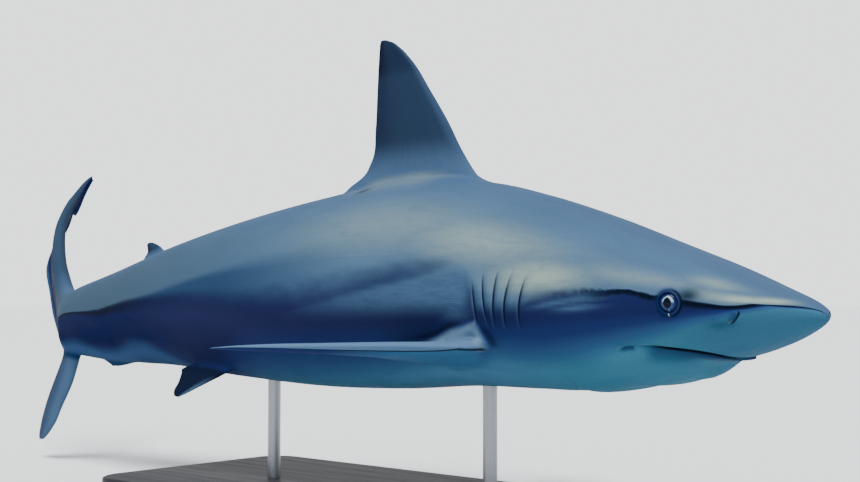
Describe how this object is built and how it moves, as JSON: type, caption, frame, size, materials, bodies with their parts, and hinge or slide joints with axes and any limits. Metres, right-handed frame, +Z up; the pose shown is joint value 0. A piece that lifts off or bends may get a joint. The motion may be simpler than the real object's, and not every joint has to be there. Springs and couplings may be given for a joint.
{
  "type": "sandbar shark model",
  "caption": "Life-size still model of a sandbar shark swimming with its tail swung to the left, held by two short rods on a flat rounded base.",
  "frame": {"origin": "middle of the flat underside of the stand's base", "axes": "+X towards the shark's head, +Y towards its left side, +Z up"},
  "size_m": [1.6117, 0.6831, 0.6325],
  "materials": {
    "skin": "satin shark skin, steel blue back, navy flank and teal belly",
    "eye": "high gloss, blue iris with a dark slit pupil",
    "base": "satin charcoal lacquer",
    "rod": "fine brushed along the rod"
  },
  "bodies": {
    "root": {"head": "skin", "lower_jaw": "skin", "eye_right": "eye", "eye_left": "eye", "trunk_front": "skin", "trunk_rear": "skin", "tail_stock": "skin", "first_dorsal_fin": "skin", "second_dorsal_fin": "skin", "anal_fin": "skin", "pectoral_fin_right": "skin", "pelvic_fin_right": "skin", "pectoral_fin_left": "skin", "pelvic_fin_left": "skin", "tail_fin_upper_lobe": "skin", "tail_fin_lower_lobe": "skin", "stand_base": "base", "stand_rod_front": "rod", "stand_rod_rear": "rod"}
  },
  "joints": []
}
